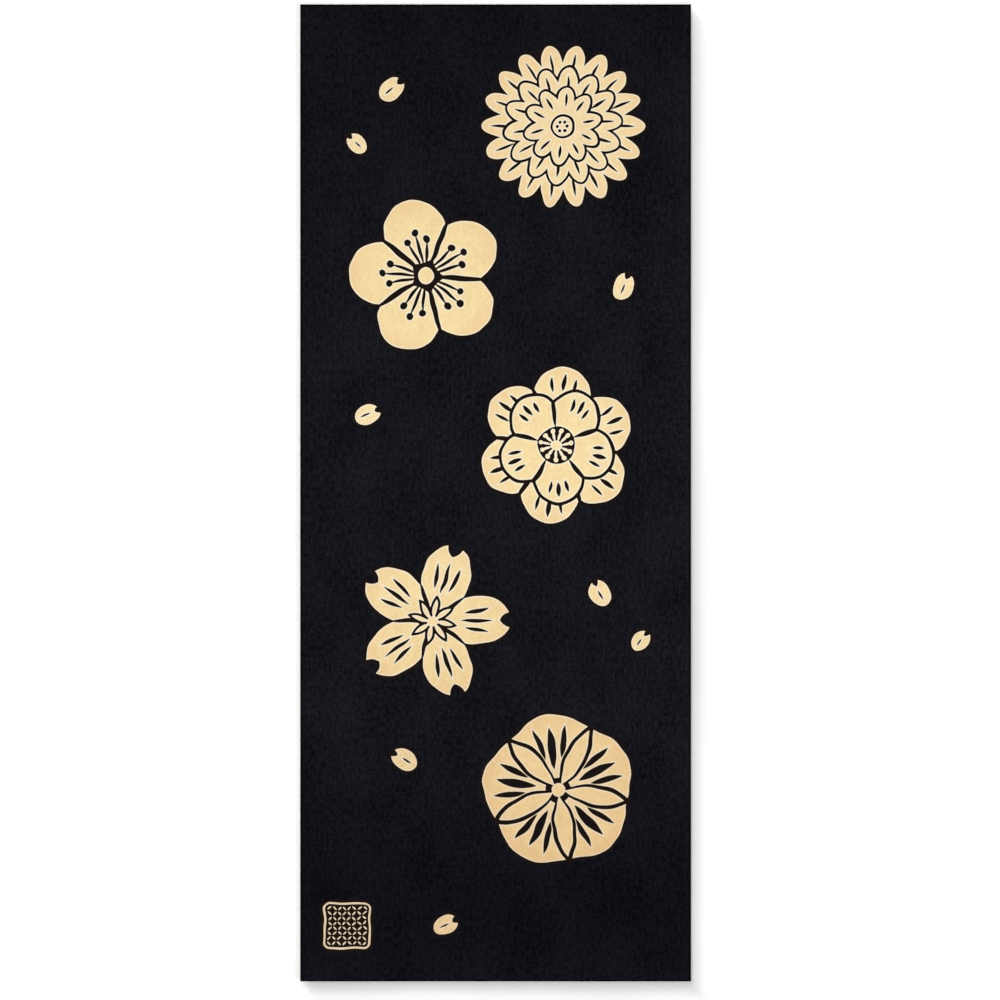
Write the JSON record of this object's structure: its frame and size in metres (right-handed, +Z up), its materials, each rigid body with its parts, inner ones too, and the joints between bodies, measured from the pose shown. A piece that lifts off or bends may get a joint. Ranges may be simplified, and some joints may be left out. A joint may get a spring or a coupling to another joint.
{
  "type": "tenugui towel",
  "caption": "Flat cotton hand towel, plain-woven and dyed near black with pale flower roundels, with woven selvedges and cut ends.",
  "frame": {"origin": "under the middle of the cloth, on the surface that it rests on", "axes": "+X across the width towards the right selvedge, +Y along the length towards the far cut end, +Z up out of the shown face"},
  "size_m": [0.36, 0.9, 0.0029],
  "materials": {
    "dyed_cotton": "matte"
  },
  "bodies": {
    "root": {"cloth": "dyed_cotton"}
  },
  "joints": []
}
